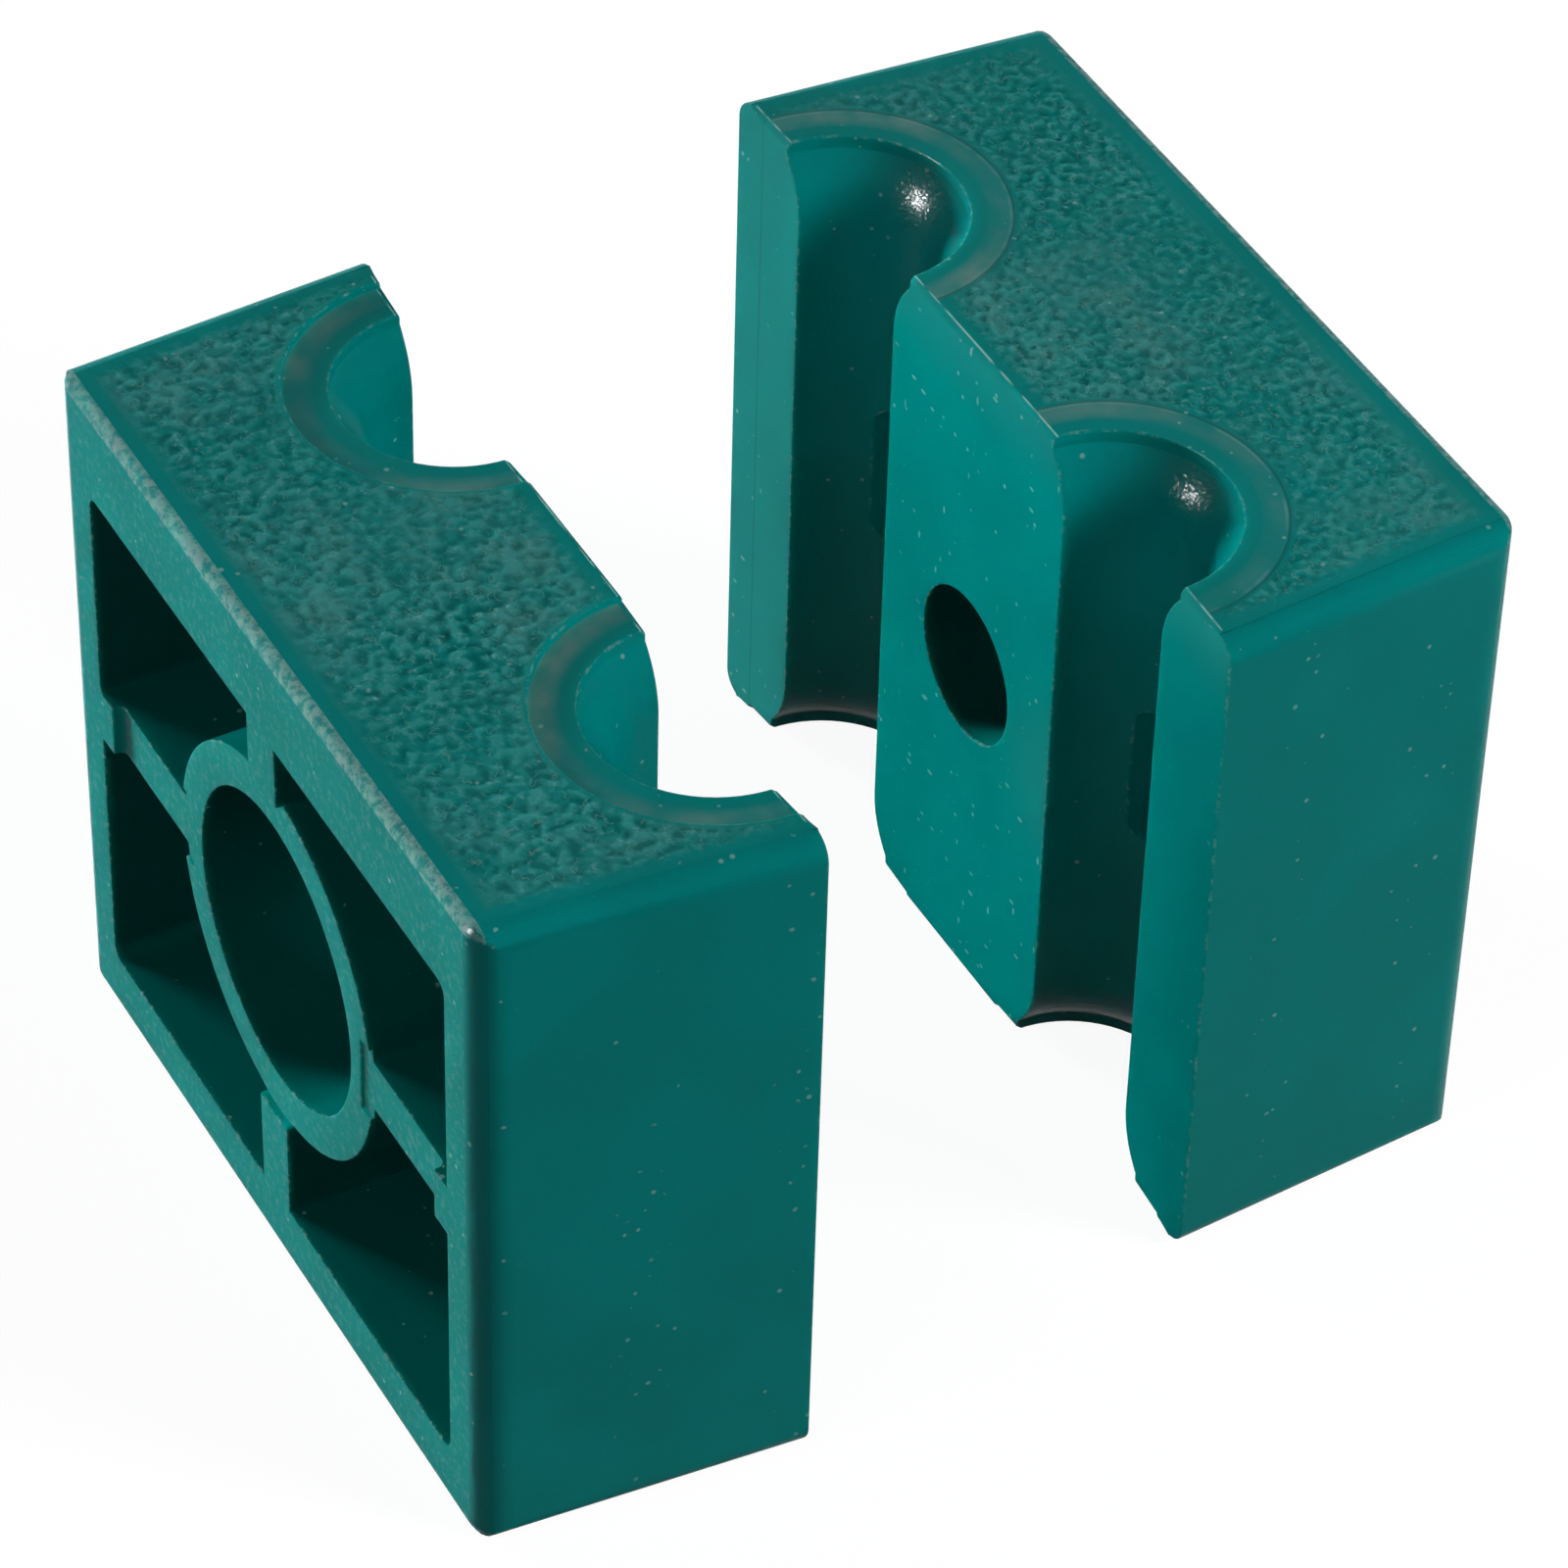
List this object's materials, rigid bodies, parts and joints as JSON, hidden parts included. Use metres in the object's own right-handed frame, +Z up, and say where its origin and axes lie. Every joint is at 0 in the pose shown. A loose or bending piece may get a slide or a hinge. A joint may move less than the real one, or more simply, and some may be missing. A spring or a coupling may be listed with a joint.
{
  "type": "hydraulic tube clamp",
  "caption": "Twin hydraulic tube clamp in green plastic: like moulded halves with half-round tube channels, a central bolt hole, a bossed bore and a ribbed hollow back.",
  "frame": {"origin": "on the ground, under the middle of the pair of halves", "axes": "+X across both tubes, +Y from the left half to the right half, +Z up along the tubes"},
  "size_m": [0.039, 0.043, 0.03],
  "materials": {
    "green_plastic": "satin moulded polypropylene, spark-eroded on the side faces, smooth elsewhere"
  },
  "bodies": {
    "root": {"left_clamp_half": "green_plastic", "right_clamp_half": "green_plastic"}
  },
  "joints": []
}
